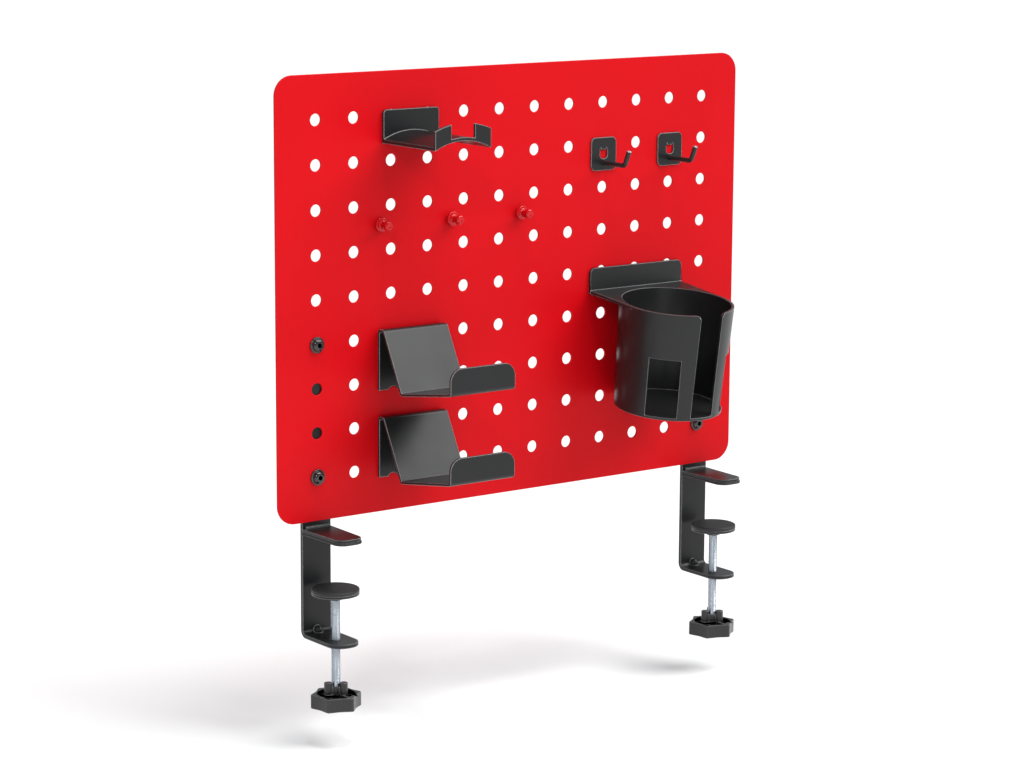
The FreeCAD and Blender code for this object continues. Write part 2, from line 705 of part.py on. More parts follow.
def make_headset_holder():
    """An arched saddle under a back plate, with two upturned lips at its front."""
    body = new_body("headset_holder")
    half, wall = "Sizes.saddle_width / 2", "Sizes.headset_wall"
    radius = f"((Sizes.saddle_width ^ 2 / 4 + Sizes.saddle_rise ^ 2) / (2 * Sizes.saddle_rise))"
    centre = f"-Sizes.saddle_drop + Sizes.saddle_rise - {radius}"
    top, low = "Sizes.headset_top", f"-Sizes.saddle_drop - {wall} / 2"
    back = block_sketch(body, "back_face", FRONT, f"-{half}", half, low, top, HOLDER_BACK)
    pad(body, "back_plate", back, wall)
    corners = [Vector(x * value(half), 0, value(top)) for x in (-1, 1)]
    fillet(body, "back_corners", "Sizes.headset_corner", along(Y, *corners), least=2)
    inner = f"{radius} - {wall}"
    arch = band_sketch(body, "saddle_band", f"-{half}", half, centre, inner, radius, HOLDER_BACK)
    pad(body, "saddle", arch, "Sizes.saddle_depth")
    front = f"{HOLDER_BACK} + Sizes.saddle_depth - {wall}"
    lip_top = f"{radius} + Sizes.lip_height"
    band = band_sketch(body, "lip_band", "Sizes.lip_gap / 2", half, centre, inner, lip_top, front)
    lip = pad(body, "lip", band, wall)
    mirror(body, "lips", lip)
    add_lugs(body, wall, "Sizes.pitch")
    place(body, x=column_x("Sizes.headset_column"), z=row_z("Sizes.headset_row"))
    finish_part(body, "headset_holder")


def make_controller_holder(label, row):
    """One folded sheet: back plate, top fold, slanted rest, tray and front lip."""
    body = new_body(label)
    back, top = f"-{HOLDER_BACK}", "Sizes.controller_top"
    foot = f"{top} - Sizes.controller_back"
    fold = f"{back} - Sizes.fold_depth"
    rest = f"{fold} - Sizes.slant_out"
    front = f"{rest} - Sizes.tray_depth"
    tray = f"{foot} + Sizes.controller_wall"
    path = [
        (back, foot), (back, top), (fold, top), (rest, tray),
        (front, f"{tray} + Sizes.tray_rise"), (front, f"{tray} + Sizes.tray_rise + Sizes.tray_lip"),
    ]
    wall, width = "Sizes.controller_wall", "Sizes.controller_width"
    bent_sheet(body, label, path, wall, width, "Sizes.controller_bend")
    lip_top = value(path[-1][1])
    half = value(width) / 2
    lip = [Vector(x * half, 0, lip_top) for x in (-1, 1)]
    fillet(body, "lip_corners", "Sizes.tray_lip_round", along(Y, *lip), least=2)
    centre = f"{foot} + Sizes.notch_rise - Sizes.notch_dia / 2"
    arch = [("Sizes.pitch / 2", centre, "Sizes.notch_dia")]
    circle = circle_sketch(body, "notch_circle", FRONT, arch)
    notch = pocket(body, "notch", circle, f"{HOLDER_BACK} + {wall} + Sizes.slip", backward=True)
    mirror(body, "notches", notch)
    add_lugs(body, wall, "Sizes.pitch")
    place(body, x=column_x("Sizes.controller_column"), z=row_z(row))
    finish_part(body, label)


def make_hook(side, column):
    """A small plate with a lanced tongue, and the wire rod welded to its face."""
    body = new_body(f"{side}_hook_plate")
    half, wall = "Sizes.hook_width / 2", "Sizes.hook_wall"
    top, low = "Sizes.hook_top", "Sizes.hook_top - Sizes.hook_height"
    face = block_sketch(body, f"{side}_hook_face", FRONT, f"-{half}", half, low, top, HOLDER_BACK)
    pad(body, f"{side}_hook_sheet", face, wall)
    corners = [Vector(x * value(half), 0, value(z)) for x in (-1, 1) for z in (low, top)]
    fillet(body, f"{side}_hook_corners", "Sizes.hook_corner", along(Y, *corners), least=4)
    window_top = f"{SEAT} + {wall} + Sizes.tongue_root"
    window_low = f"{window_top} - Sizes.window_height"
    edge = "Sizes.window_width / 2"
    window = block_sketch(
        body, f"{side}_window_face", FRONT, f"-{edge}", edge, window_low, window_top
    )
    pocket(body, f"{side}_window", window)
    levels = value(window_low), value(window_top)
    corners = [Vector(x * value(edge), 0, level) for x in (-1, 1) for level in levels]
    fillet(body, f"{side}_window_corners", "Sizes.window_round", along(Y, *corners), least=4)
    face_plane = f"-{HOLDER_BACK} - {wall}"
    tongue = [
        (face_plane, f"{window_top} + Sizes.tongue_root"), (face_plane, SEAT),
        ("Sizes.lug_play", SEAT), ("Sizes.lug_play", f"{SEAT} - Sizes.lug_drop"),
    ]
    sketch, _, _ = sheet_sketch(body, f"{side}_tongue_side", tongue, wall)
    pad(body, f"{side}_tongue", sketch, "Sizes.lug_width", symmetric=True)
    place(body, x=column_x(column), z=row_z("Sizes.hook_row"))
    finish_part(body, body.Label)
    make_rod(side, column, face_plane)


def make_rod(side, column, start):
    """A wire that runs straight out, then turns up and leans outward."""
    body = new_body(f"{side}_hook_rod")
    path = new_sketch(body, f"{side}_rod_path", SIDE)
    level, bend = -value("Sizes.rod_drop"), value("Sizes.rod_bend")
    lean = math.radians(value("Sizes.rod_lean"))
    corner = Vector(value(start) - value("Sizes.rod_out"), level, 0)
    rising = Vector(-math.sin(lean), math.cos(lean), 0)
    turn = math.pi / 2 - lean
    setback = bend * math.tan(turn / 2)
    run_end, rise_start = corner + X * setback, corner + rising * setback
    tip_y = f"{start} - Sizes.rod_out - Sizes.rod_rise * tan(Sizes.rod_lean)"
    tip_z = "Sizes.rod_rise - Sizes.rod_drop"
    path.addGeometry(Part.LineSegment(Vector(value(start), level, 0), run_end), False)
    circle = Part.Circle(run_end + Y * bend, Z, bend)
    path.addGeometry(Part.ArcOfCircle(circle, -math.pi / 2 - turn, -math.pi / 2), False)
    path.addGeometry(Part.LineSegment(rise_start, Vector(value(tip_y), value(tip_z), 0)), False)
    path.addConstraint(Sketcher.Constraint("Horizontal", 0))
    path.addConstraint(Sketcher.Constraint("Tangent", 0, 2, 1, 2))
    path.addConstraint(Sketcher.Constraint("Tangent", 1, 1, 2, 1))
    dimension(path, "Radius", 1, size="Sizes.rod_bend")
    pin_point(path, 0, 1, start, "-Sizes.rod_drop")
    pin_point(path, 2, 2, tip_y, tip_z)
    section = [("0", "-Sizes.rod_drop", "Sizes.rod_dia")]
    circle = circle_sketch(body, f"{side}_rod_circle", FRONT, section, f"-({start})")
    rod = body.newObject("PartDesign::AdditivePipe", f"{side}_rod_wire")
    rod.Profile = circle
    rod.Spine = (path, ["Edge1", "Edge2", "Edge3"])
    doc.recompute()
    place(body, x=column_x(column), z=row_z("Sizes.hook_row"))
    finish_part(body, body.Label)


def make_cup_holder():
    """A leaning cup with a slot for a mug's handle, joined by its flange to a back plate."""
    back = new_body("cup_back")
    half, wall = "Sizes.cup_back_width / 2", "Sizes.cup_back_wall"
    top, low = "Sizes.cup_back_top", "Sizes.cup_back_top - Sizes.cup_back_height"
    face = block_sketch(back, "cup_back_face", FRONT, f"-{half}", half, low, top, HOLDER_BACK)
    pad(back, "cup_back_plate", face, wall)
    corners = [Vector(x * value(half), 0, value(top)) for x in (-1, 1)]
    fillet(back, "cup_back_corners", "Sizes.cup_back_corner", along(Y, *corners), least=2)
    add_lugs(back, wall, "Sizes.cup_lug_pitches * Sizes.pitch")
    place(back, x=column_x("Sizes.cup_column"), z=row_z("Sizes.cup_row"))
    shell = make_cup_shell()
    root = f"(Sizes.cup_out - {HOLDER_BACK} - {wall})"
    rim = f"{row_z('Sizes.cup_row')} + {low} + Sizes.flange_wall - {root} * tan(Sizes.cup_tilt)"
    place(
        shell, x=column_x("Sizes.cup_column"), y="-Sizes.cup_out", z=rim,
        turn="Sizes.cup_tilt", about=X
    )
    cup = doc.addObject("Part::MultiFuse", "cup_holder")
    cup.Shapes = [back, shell]
    finish_part(cup, "cup_holder")


def make_cup_shell():
    """The cup and its flange, upright, with the rim's centre at the origin."""
    body = new_body("cup_shell")
    rim, foot = "Sizes.cup_top_dia / 2", "Sizes.cup_foot_dia / 2"
    low, floor = "-Sizes.cup_height", "-Sizes.cup_height + Sizes.cup_floor"
    outside = [("0", "0"), (rim, "0"), (foot, low), ("0", low)]
    revolve(body, "cup_turned", outline_sketch(body, "cup_half", FRONT, outside))
    root = f"(Sizes.cup_out - {HOLDER_BACK} - Sizes.cup_back_wall / 2) / cos(Sizes.cup_tilt)"
    half = "Sizes.cup_back_width / 2"
    web = outline_sketch(
        body, "flange_outline", TOP, [(f"-{rim}", "0"), (rim, "0"), (half, root), (f"-{half}", root)]
    )
    pad(body, "flange", web, "Sizes.flange_wall", backward=True)
    hollow = [
        ("0", "0"), (f"{rim} - Sizes.cup_wall", "0"),
        (f"{foot} - Sizes.cup_wall", floor), ("0", floor),
    ]
    revolve(body, "cup_hollow", outline_sketch(body, "hollow_half", FRONT, hollow), cut=True)
    slot = "Sizes.mug_slot / 2"
    mouth = block_sketch(body, "mug_slot_face", FRONT, f"-{slot}", slot, floor, "0")
    pocket(body, "mug_slot_cut", mouth, "Sizes.cup_top_dia", backward=True)
    edges = [Vector(x * value(slot), 0, 0) for x in (-1, 1)]
    fillet(body, "mug_slot_corners", "Sizes.mug_slot_round", along(Y, *edges), least=2)
    window_half = "Sizes.side_window / 2"
    window_top = f"{floor} + Sizes.side_window_height"
    sketch = block_sketch(
        body, "side_window_face", FRONT, f"-{window_half}", window_half, floor, window_top
    )
    turn = "Sizes.side_window_turn"
    sketch.AttachmentOffset = Placement(Vector(), Rotation(Y, value(turn)))
    sketch.setExpression("AttachmentOffset.Rotation.Angle", turn)
    window = pocket(body, "side_window_cut", sketch, "Sizes.cup_top_dia", backward=True)
    mirror(body, "side_windows", window)
    return body


def make_pin(name, column):
    """A turned plastic handle on a magnet disc."""
    x, z = column_x(column), row_z("Sizes.pin_row")
    magnet = doc.addObject("Part::Cylinder", f"{name}_pin_magnet")
    magnet.setExpression("Radius", "Sizes.magnet_dia / 2")
    magnet.setExpression("Height", "Sizes.magnet_wall")
    place(magnet, x=x, y="-Sizes.panel_wall", z=z, turn="90", about=X)
    finish_part(magnet, f"{name}_pin_magnet")
    body = new_body(f"{name}_pin_handle")
    levels = ["-Sizes.panel_wall - Sizes.magnet_wall"]
    for step in ("Sizes.pin_base_wall", "Sizes.pin_waist", "Sizes.pin_head"):
        levels.append(f"{levels[-1]} - {step}")
    base, waist, head = (f"Sizes.pin_{zone}_dia / 2" for zone in ("base", "waist", "head"))
    corners = [
        ("0", levels[0]), (base, levels[0]), (base, levels[1]), (waist, levels[1]),
        (head, levels[2]), (head, levels[3]), ("0", levels[3]),
    ]
    revolve(body, f"{name}_pin_turned", outline_sketch(body, f"{name}_pin_half", TOP, corners))

    def is_outer_rim(edge):
        front = ring(value(head), Y, value(levels[3]))
        return front(edge) or ring(value(head), Y, value(levels[2]))(edge)

    fillet(body, f"{name}_pin_rims", "Sizes.pin_round", is_outer_rim, least=2)
    place(body, x=x, z=z)
    finish_part(body, body.Label)


# --- assembly ---------------------------------------------------------------------------------

make_panel()
for hand, clamp_x in (("left", column_x("1")), ("right", column_x("Sizes.columns"))):
    make_bracket(f"{hand}_clamp_bracket", clamp_x)
    make_upper_jaw(hand, clamp_x)
    make_pressure_disc(hand, clamp_x)
    make_clamp_screw(hand, clamp_x)
    make_knob(hand, clamp_x)
make_fasteners()
make_headset_holder()
make_controller_holder("upper_controller_holder", "Sizes.upper_controller_row")
make_controller_holder("lower_controller_holder", "Sizes.lower_controller_row")
make_hook("left", "Sizes.left_hook_column")
make_hook("right", "Sizes.right_hook_column")
make_cup_holder()
for order, pin_name in enumerate(("first", "second", "third")):
    make_pin(pin_name, f"Sizes.pin_first + {order} * Sizes.pin_step")
doc.recompute()

broken = [thing.Label for thing in doc.Objects if {"Invalid", "Error"} & set(thing.State)]
if broken:
    raise RuntimeError(f"failed objects: {broken}")
for piece in sub_parts:
    if piece.Shape.isNull() or not piece.Shape.isValid():
        raise RuntimeError(f"{piece.Label} has no valid shape")

os.makedirs("parts", exist_ok=True)
for piece in sub_parts:
    piece.Shape.exportStep(f"parts/{piece.Label}.step")
    solids = len(piece.Shape.Solids)
    print(f"{piece.Label}: {solids} solid(s), {piece.Shape.Volume / 1000:.2f} cm3")
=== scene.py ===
# %% [markdown]
# # A desk pegboard: perforated steel, bent sheet, threads and moulded plastic
# This lesson finishes a desk pegboard. The engineering model already holds every piece at its
# real size, so the job here is what makes metal and plastic believable: edges that catch
# light, threads that are cut, and coatings with a grain. The model is loaded as a fixed
# frame, and everything is in metres in that one frame, so a new piece goes straight where it
# belongs.

# %% Load the frame
import json
import math
import random

import bmesh
import bpy
from mathutils import Matrix, Vector


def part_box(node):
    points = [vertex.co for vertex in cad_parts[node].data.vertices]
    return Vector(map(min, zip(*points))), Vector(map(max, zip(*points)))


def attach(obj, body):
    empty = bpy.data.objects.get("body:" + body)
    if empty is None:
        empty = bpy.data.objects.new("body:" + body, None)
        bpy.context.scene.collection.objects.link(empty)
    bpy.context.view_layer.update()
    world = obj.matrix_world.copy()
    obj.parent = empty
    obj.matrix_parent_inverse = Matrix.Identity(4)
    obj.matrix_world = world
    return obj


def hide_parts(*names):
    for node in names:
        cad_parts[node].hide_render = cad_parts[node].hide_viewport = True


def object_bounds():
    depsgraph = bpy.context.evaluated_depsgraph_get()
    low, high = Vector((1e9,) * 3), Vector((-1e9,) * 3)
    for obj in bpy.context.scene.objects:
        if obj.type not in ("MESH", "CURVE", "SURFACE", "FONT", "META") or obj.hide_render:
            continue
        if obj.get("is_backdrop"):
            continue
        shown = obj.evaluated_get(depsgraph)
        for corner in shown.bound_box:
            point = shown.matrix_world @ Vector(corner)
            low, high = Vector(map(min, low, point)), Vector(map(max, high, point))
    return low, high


MM = 0.001
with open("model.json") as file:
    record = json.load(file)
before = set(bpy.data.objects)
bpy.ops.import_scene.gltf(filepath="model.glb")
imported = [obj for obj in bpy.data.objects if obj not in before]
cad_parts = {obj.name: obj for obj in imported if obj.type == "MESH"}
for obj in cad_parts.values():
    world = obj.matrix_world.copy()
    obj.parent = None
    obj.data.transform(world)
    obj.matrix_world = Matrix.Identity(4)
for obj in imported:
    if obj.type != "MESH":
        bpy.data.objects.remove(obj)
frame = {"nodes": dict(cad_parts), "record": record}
cad_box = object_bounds()
record = frame["record"]
bodies = record["behaviour"]["bodies"]
body_of_node = {node_name: body for body, members in bodies.items() for node_name in members}
slot_of_node = {part["node"]: part["material_slot"] for part in record["subparts"]}
print("nodes:", len(frame["nodes"]), "bodies:", len(bodies))

# %% [markdown]
# ## The camera
# A long lens from far away keeps the rows of holes nearly parallel, as in a catalogue
# spread. The view is stated in the plainest way: how far round, how high, how far off. The
# camera's three axes are worked out from those numbers, so there is no constraint to keep.

# %% Camera
AROUND, ABOVE, ROLL = math.radians(-36.44), math.radians(10.5), math.radians(0.34)
DISTANCE, LENS, FAR_CLIP = 2.710, 107.6, 200
AIM_FROM_MIDDLE = Vector((-4.2, -1.0, -92.9)) * MM

panel_low, panel_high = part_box("pegboard_panel")
panel_middle = (panel_low + panel_high) / 2
aim = panel_middle + AIM_FROM_MIDDLE
back = Vector((
    math.sin(AROUND) * math.cos(ABOVE), -math.cos(AROUND) * math.cos(ABOVE), math.sin(ABOVE)
))
right = Vector((0, 0, 1)).cross(back).normalized()
axes = Matrix((right, back.cross(right), back)).transposed() @ Matrix.Rotation(ROLL, 3, "Z")

camera = bpy.data.objects.new("camera", bpy.data.cameras.new("camera"))
camera.data.lens = LENS
camera.data.clip_end = FAR_CLIP
camera.matrix_world = Matrix.Translation(aim + back * DISTANCE) @ axes.to_4x4()
bpy.context.scene.collection.objects.link(camera)
bpy.context.scene.camera = camera
print("camera stands", [round(c, 3) for c in camera.location])

# %% [markdown]
# ## Floor and light
# Product pictures use a white sweep and large soft lamps. A very wide sun high on the right
# lights the floor evenly to the horizon and throws the holders' soft shadows down to the
# left on the panel. A lamp overhead brings out the folds and rims that face up, and a small
# one on the left puts glints on plastic and screw heads. The surroundings stay dim, because
# black paint and deep red show every bright thing around them as a grey veil. A colour
# transform that leaves colours alone keeps the red strong. The clamps' screws travel 32 mm
# down from here as the clamps open, so the floor lies a little lower than that.

# %% Floor
FLOOR_GAP, FLOOR_SIDE = 34.0 * MM, 60.0


def link(obj):
    bpy.context.scene.collection.objects.link(obj)
    return obj


def mesh_object(name, work):
    """Turns a bmesh into a linked object at the origin."""
    mesh = bpy.data.meshes.new(name)
    work.to_mesh(mesh)
    work.free()
    return link(bpy.data.objects.new(name, mesh))


sweep = bmesh.new()
bmesh.ops.create_grid(sweep, x_segments=1, y_segments=1, size=FLOOR_SIDE / 2)
bmesh.ops.translate(sweep, verts=sweep.verts, vec=(0, 0, cad_box[0][2] - FLOOR_GAP))
floor = mesh_object("floor", sweep)
floor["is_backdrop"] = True
print("floor at", round(cad_box[0][2] - FLOOR_GAP, 4))

# %% Lamps and surroundings
SKY_COLOUR, SKY_STRENGTH = (0.97, 0.98, 1.0, 1), 0.45


def lamp(name, kind, towards, power, **settings):
    """A lamp that stands in a direction from the panel's middle and faces it."""
    data = bpy.data.lights.new(name, kind)
    data.energy = power
    for key, setting in settings.items():
        setattr(data, key, setting)
    made = link(bpy.data.objects.new(name, data))
    made.location = panel_middle + Vector(towards)
    made.rotation_euler = (-Vector(towards)).to_track_quat("-Z", "Y").to_euler()
    return made


lamp("wide_sun", "SUN", (1.5, -1.25, 2.1), 3.0, angle=math.radians(48))
lamp("top_lamp", "AREA", (-0.2, -0.5, 1.7), 12, shape="SQUARE", size=0.4)
lamp("left_lamp", "AREA", (-1.9, -1.6, 1.5), 12, shape="SQUARE", size=0.28)
world = bpy.data.worlds.new("surroundings")
world.use_nodes = True
sky = world.node_tree.nodes["Background"]
sky.inputs["Color"].default_value = SKY_COLOUR
sky.inputs["Strength"].default_value = SKY_STRENGTH
bpy.context.scene.world = world
bpy.context.scene.view_settings.view_transform = "Standard"
print("lamps:", sorted(light.name for light in bpy.data.lights))

# %% [markdown]
# ## Finishes that share their effects
# Every coating on this object shares three effects: a lighter line along its edges, which is
# partly wear and partly a painted highlight where the edges catch light, a fine grain, and
# slow clouds in its tone. Each effect is a node group with named sockets, built once and
# placed in a material with that material's own sizes. All of them read Object coordinates,
# in metres, so a scale of 1000 means a feature of about a millimetre.

# %% Group helpers
FLOAT, VECTOR = "NodeSocketFloat", "NodeSocketVector"


def new_group(name, inputs, outputs):
    """An empty shader group with its sockets; inputs are names with default values."""
    group = bpy.data.node_groups.new(name, "ShaderNodeTree")
    for socket, default in inputs.items():
        made = group.interface.new_socket(name=socket, in_out="INPUT", socket_type=FLOAT)
        made.default_value = default
    for socket, kind in outputs.items():
        group.interface.new_socket(name=socket, in_out="OUTPUT", socket_type=kind)
    return group


def node(tree, kind, links=None, **settings):
    """A node with settings on it and sockets that are linked or given a value."""
    made = tree.nodes.new(kind)
    for key, setting in settings.items():
        setattr(made, key, setting)
    for socket, source in (links or {}).items():
        if isinstance(source, bpy.types.NodeSocket):
            tree.links.new(source, made.inputs[socket])
        else:
            made.inputs[socket].default_value = source
    return made


def maths(tree, operation, first, second=0.0, third=0.5, clamp=False):
    made = node(
        tree, "ShaderNodeMath", {0: first, 1: second, 2: third},
        operation=operation, use_clamp=clamp
    )
    return made.outputs[0]


# %% Edge wear and painted highlight
EDGE_CONTRAST = 9.0              # how soon a turned normal counts as a full edge
PATCH_SPREAD, PATCH_LEAST = 1.2, 0.5


def build_edge_wear_and_highlight():
    """Marks where the surface turns sharply, broken up by noise, and rounds its normal."""
    inputs = {"Radius": 0.6 * MM, "Breakup": 600.0}
    group = new_group("edge_wear_and_highlight", inputs, {"Edge": FLOAT, "Normal": VECTOR})
    entry, leave = node(group, "NodeGroupInput"), node(group, "NodeGroupOutput")
    place = node(group, "ShaderNodeTexCoord").outputs["Object"]
    rounded = node(group, "ShaderNodeBevel", {"Radius": entry.outputs["Radius"]}, samples=4)
    true_normal = node(group, "ShaderNodeNewGeometry").outputs["Normal"]
    likeness = node(
        group, "ShaderNodeVectorMath", {0: rounded.outputs[0], 1: true_normal},
        operation="DOT_PRODUCT"
    )
    turned_away = maths(group, "SUBTRACT", 1.0, likeness.outputs["Value"])
    line = maths(group, "MULTIPLY", turned_away, EDGE_CONTRAST, clamp=True)
    noise = node(group, "ShaderNodeTexNoise", {"Vector": place, "Scale": entry.outputs["Breakup"]})
    patch = maths(
        group, "MULTIPLY_ADD", noise.outputs[0], PATCH_SPREAD, PATCH_LEAST, clamp=True
    )
    # The line along turned edges; the materials paint it lighter, partly as wear and partly as a
    # painted highlight.
    worn_and_lit = maths(group, "MULTIPLY", line, patch)
    group.links.new(worn_and_lit, leave.inputs["Edge"])
    group.links.new(rounded.outputs[0], leave.inputs["Normal"])
    return group


# %% Grain
WIDE_TO_FINE = 0.28


def build_grain():
    """The height of a fine sprayed or moulded grain, from two sizes of noise."""
    group = new_group("grain", {"Scale": 2200.0, "Soft": 0.5}, {"Height": FLOAT})
    entry, leave = node(group, "NodeGroupInput"), node(group, "NodeGroupOutput")
    place = node(group, "ShaderNodeTexCoord").outputs["Object"]
    fine = node(
        group, "ShaderNodeTexNoise",
        {"Vector": place, "Scale": entry.outputs["Scale"], "Detail": 3.0, "Roughness": 0.6}
    )
    wide_scale = maths(group, "MULTIPLY", entry.outputs["Scale"], WIDE_TO_FINE)
    wide = node(group, "ShaderNodeTexNoise", {"Vector": place, "Scale": wide_scale, "Detail": 1.0})
    share = maths(group, "MULTIPLY", wide.outputs[0], entry.outputs["Soft"])
    group.links.new(maths(group, "ADD", fine.outputs[0], share), leave.inputs["Height"])
    return group


# %% Clouds


def build_clouds():
    """A slow drift from 0 to 1, for tone and gloss that aren't quite even."""
    group = new_group("clouds", {"Scale": 22.0}, {"Drift": FLOAT})
    entry, leave = node(group, "NodeGroupInput"), node(group, "NodeGroupOutput")
    place = node(group, "ShaderNodeTexCoord").outputs["Object"]
    noise = node(
        group, "ShaderNodeTexNoise",
        {"Vector": place, "Scale": entry.outputs["Scale"], "Detail": 4.0, "Roughness": 0.55}
    )
    spread = node(
        group, "ShaderNodeMapRange",
        {"Value": noise.outputs[0], "From Min": 0.3, "From Max": 0.7}
    )
    group.links.new(spread.outputs[0], leave.inputs["Drift"])
    return group


EDGE_WEAR_AND_HIGHLIGHT, GRAIN, CLOUDS = build_edge_wear_and_highlight(), build_grain(), build_clouds()
print("shared effects:", [group.name for group in (EDGE_WEAR_AND_HIGHLIGHT, GRAIN, CLOUDS)])

# %% [markdown]
# ## One recipe for coated surfaces
# Powder coat, moulded plastic and rubber differ in numbers, not in kind: a base colour that
# drifts a little, a lighter edge that is partly wear and partly a painted highlight, a grain
# that breaks up the highlight, and a gloss that isn't quite even. So one function builds them
# all, and each finish is a short list of its own values. What is even over the whole surface
# is set on the shader's own sockets.

# %% Material helpers
MIX_SOCKETS, MIX_RESULT = (0, 6, 7), 2   # a Mix node's factor and two colours, and its colour out


def mixed(tree, factor, first, second):
    """A colour between two others; a colour may be a socket or four numbers."""
    sources = dict(zip(MIX_SOCKETS, (factor, first, second)))
    return node(tree, "ShaderNodeMix", data_type="RGBA", links=sources).outputs[MIX_RESULT]


def new_material(name):
    material = bpy.data.materials.new(name)
    material.use_nodes = True
    return material, material.node_tree, material.node_tree.nodes["Principled BSDF"]


def placed(tree, group, **values):
    made = node(tree, "ShaderNodeGroup", node_tree=group)
    for socket, setting in values.items():
        made.inputs[socket].default_value = setting
    return made


def tint(colour, share):
    """A colour made darker or lighter by a share of itself."""
    return (*(min(1.0, part * share) for part in colour), 1)


# %% Coated finishes


def coated(name, colour, gloss, worn_and_lit, wear_and_highlight, grain, height, drift=0.08, edge=0.6, clouds=22.0,
           soft=0.5, specular=0.5):
    """A coating; gloss is its lowest and highest roughness, edge and height are in mm."""
    material, tree, shader = new_material(name)
    cloud = placed(tree, CLOUDS, Scale=clouds).outputs["Drift"]
    rim = placed(tree, EDGE_WEAR_AND_HIGHLIGHT, Radius=edge * MM)
    body_tone = mixed(tree, cloud, tint(colour, 1 - drift), tint(colour, 1 + drift))
    # The edge line gets the lighter worn_and_lit colour: partly wear, partly a painted highlight
    # on the edges.
    worn_and_lit_share = maths(tree, "MULTIPLY", rim.outputs["Edge"], wear_and_highlight)
    tree.links.new(mixed(tree, worn_and_lit_share, body_tone, (*worn_and_lit, 1)), shader.inputs["Base Color"])
    roughness = node(
        tree, "ShaderNodeMapRange", {"Value": cloud, "To Min": gloss[0], "To Max": gloss[1]}
    )
    tree.links.new(roughness.outputs[0], shader.inputs["Roughness"])
    bump = node(
        tree, "ShaderNodeBump",
        {"Height": placed(tree, GRAIN, Scale=grain, Soft=soft).outputs["Height"],
         "Normal": rim.outputs["Normal"], "Distance": height * MM}
    )
    tree.links.new(bump.outputs[0], shader.inputs["Normal"])
    shader.inputs["Specular IOR Level"].default_value = specular
    return material


# %% Values of the coated finishes
RED, BLACK = (0.56, 0.002, 0.006), (0.0095, 0.01, 0.0105)
FINISHES = {
    "red_paint": coated(
        "red_paint", RED, (0.36, 0.44), drift=0.035, worn_and_lit=(0.75, 0.05, 0.05), wear_and_highlight=0.5,
        grain=1300.0, height=0.012, clouds=9.0, soft=1.0, specular=0.1
    ),
    "black_sheet": coated(
        "black_sheet", BLACK, (0.27, 0.37), drift=0.12, worn_and_lit=(0.55, 0.56, 0.57), wear_and_highlight=0.9,
        grain=2600.0, height=0.014, edge=0.75, specular=0.3
    ),
    "black_bolt": coated(
        "black_bolt", (0.009, 0.009, 0.0095), (0.09, 0.15), worn_and_lit=(0.25, 0.25, 0.25), wear_and_highlight=0.7,
        grain=3200.0, height=0.006, edge=0.3, specular=0.7
    ),
    "black_rubber": coated(
        "black_rubber", (0.011, 0.011, 0.0115), (0.5, 0.64), worn_and_lit=(0.07, 0.07, 0.072), wear_and_highlight=0.6,
        grain=1700.0, height=0.035
    ),
    "black_moulding": coated(
        "black_moulding", (0.0115, 0.012, 0.0125), (0.3, 0.38), drift=0.06,
        worn_and_lit=(0.5, 0.51, 0.52), wear_and_highlight=0.85, grain=1500.0, height=0.014, clouds=12.0,
        specular=0.35
    ),
    "knob_plastic": coated(
        "knob_plastic", (0.0105, 0.0105, 0.011), (0.24, 0.34), worn_and_lit=(0.45, 0.45, 0.455), wear_and_highlight=0.85,
        grain=1900.0, height=0.012, edge=0.7
    ),
    "red_plastic": coated(
        "red_plastic", (0.48, 0.0015, 0.005), (0.05, 0.09), drift=0.03, worn_and_lit=(0.7, 0.03, 0.03),
        wear_and_highlight=0.15, grain=500.0, height=0.004, edge=0.3, specular=0.4
    ),
}
print("coated finishes:", sorted(FINISHES))

# %% [markdown]
# ## Plated metal
# Zinc and nickel have no pigment, so their colour is the metal's own and the detail lies in
# the roughness: fine drawing lines round a screw, and small clouds from the plating bath.

# %% Plated finishes
PLATE_CLOUDS, PLATE_DARK, PLATE_LIGHT, PLATE_POLISH_AND_SHEEN = 90.0, 0.9, 1.06, 1.2
PLATE_EDGE_RADIUS = 0.25 * MM


def plated(name, colour, gloss, grain, height, squeeze):
    """A plated metal; squeeze packs its grain closer along an axis, into lines round it."""
    material, tree, shader = new_material(name)
    shader.inputs["Metallic"].default_value = 1.0
    cloud = placed(tree, CLOUDS, Scale=PLATE_CLOUDS).outputs["Drift"]
    tone = mixed(tree, cloud, tint(colour, PLATE_DARK), tint(colour, PLATE_LIGHT))
    rim = placed(tree, EDGE_WEAR_AND_HIGHLIGHT, Radius=PLATE_EDGE_RADIUS)
    # Edges are painted in lighter metal: partly polish, partly a painted highlight where they
    # catch light.
    polished_and_lit = mixed(tree, rim.outputs["Edge"], tone, tint(colour, PLATE_POLISH_AND_SHEEN))
    tree.links.new(polished_and_lit, shader.inputs["Base Color"])
    place = node(tree, "ShaderNodeTexCoord").outputs["Object"]
    stretched = node(tree, "ShaderNodeMapping", {"Vector": place, "Scale": squeeze})
    streaks = node(
        tree, "ShaderNodeTexNoise",
        {"Vector": stretched.outputs[0], "Scale": grain, "Detail": 3.0}
    )
    roughness = node(
        tree, "ShaderNodeMapRange",
        {"Value": streaks.outputs[0], "To Min": gloss[0], "To Max": gloss[1]}
    )
    tree.links.new(roughness.outputs[0], shader.inputs["Roughness"])
    bump = node(
        tree, "ShaderNodeBump",
        {"Height": streaks.outputs[0], "Normal": rim.outputs["Normal"], "Distance": height * MM}
    )
    tree.links.new(bump.outputs[0], shader.inputs["Normal"])
    return material


